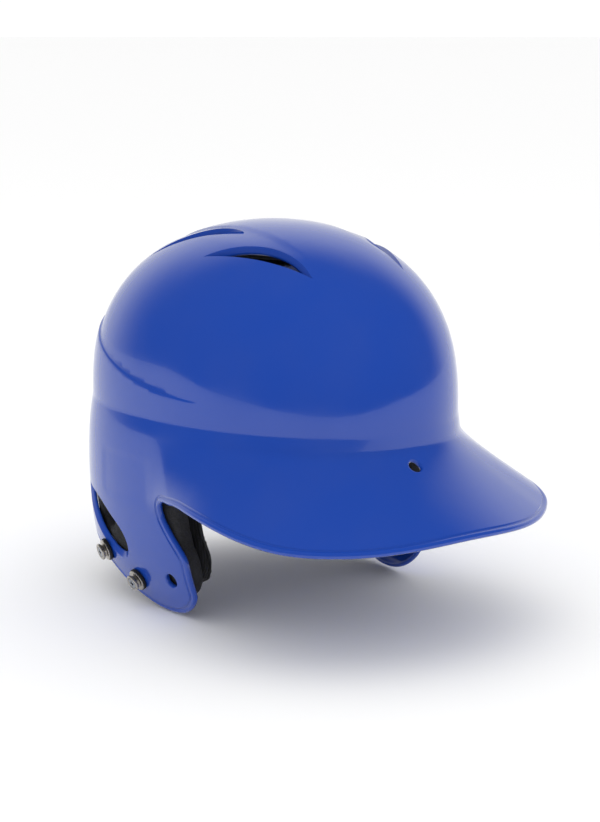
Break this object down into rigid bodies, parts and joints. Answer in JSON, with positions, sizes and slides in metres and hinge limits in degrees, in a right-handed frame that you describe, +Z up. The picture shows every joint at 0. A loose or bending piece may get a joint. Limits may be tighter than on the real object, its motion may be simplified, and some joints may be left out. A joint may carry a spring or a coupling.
{
  "type": "batting helmet",
  "caption": "Glossy blue batting helmet with a long brim, two ear flaps with ear openings, crown vents, black layered pads and metal chin-strap snap studs.",
  "frame": {"origin": "middle of the head opening: under the middle of the dome, at the height of the flaps' lowest points", "axes": "+X forward over the brim, +Y to the wearer's left, +Z up towards the crown"},
  "size_m": [0.2885, 0.2098, 0.2169],
  "materials": {
    "shell": "high-gloss moulded royal blue, clear coated",
    "foam": "matte closed-cell foam",
    "lining": "black knitted cover over soft foam",
    "stud_steel": "turned and nickel plated",
    "screw_steel": "satin zinc plated",
    "nut_steel": "satin zinc plated",
    "washer_rubber": "matte black"
  },
  "bodies": {
    "root": {"shell": "shell", "crown_pad_core": "foam", "front_pad_core": "foam", "rear_pad_core": "foam", "right_side_pad_core": "foam", "left_side_pad_core": "foam", "right_ear_pad_core": "foam", "left_ear_pad_core": "foam", "crown_pad_liner": "lining", "front_pad_liner": "lining", "rear_pad_liner": "lining", "right_side_pad_liner": "lining", "left_side_pad_liner": "lining", "right_ear_cushion": "lining", "left_ear_cushion": "lining", "right_front_snap_stud": "stud_steel", "right_front_stud_screw": "screw_steel", "right_front_t_nut": "nut_steel", "right_front_washer": "washer_rubber", "right_rear_snap_stud": "stud_steel", "right_rear_stud_screw": "screw_steel", "right_rear_t_nut": "nut_steel", "right_rear_washer": "washer_rubber", "left_front_snap_stud": "stud_steel", "left_front_stud_screw": "screw_steel", "left_front_t_nut": "nut_steel", "left_front_washer": "washer_rubber", "left_rear_snap_stud": "stud_steel", "left_rear_stud_screw": "screw_steel", "left_rear_t_nut": "nut_steel", "left_rear_washer": "washer_rubber"}
  },
  "joints": []
}
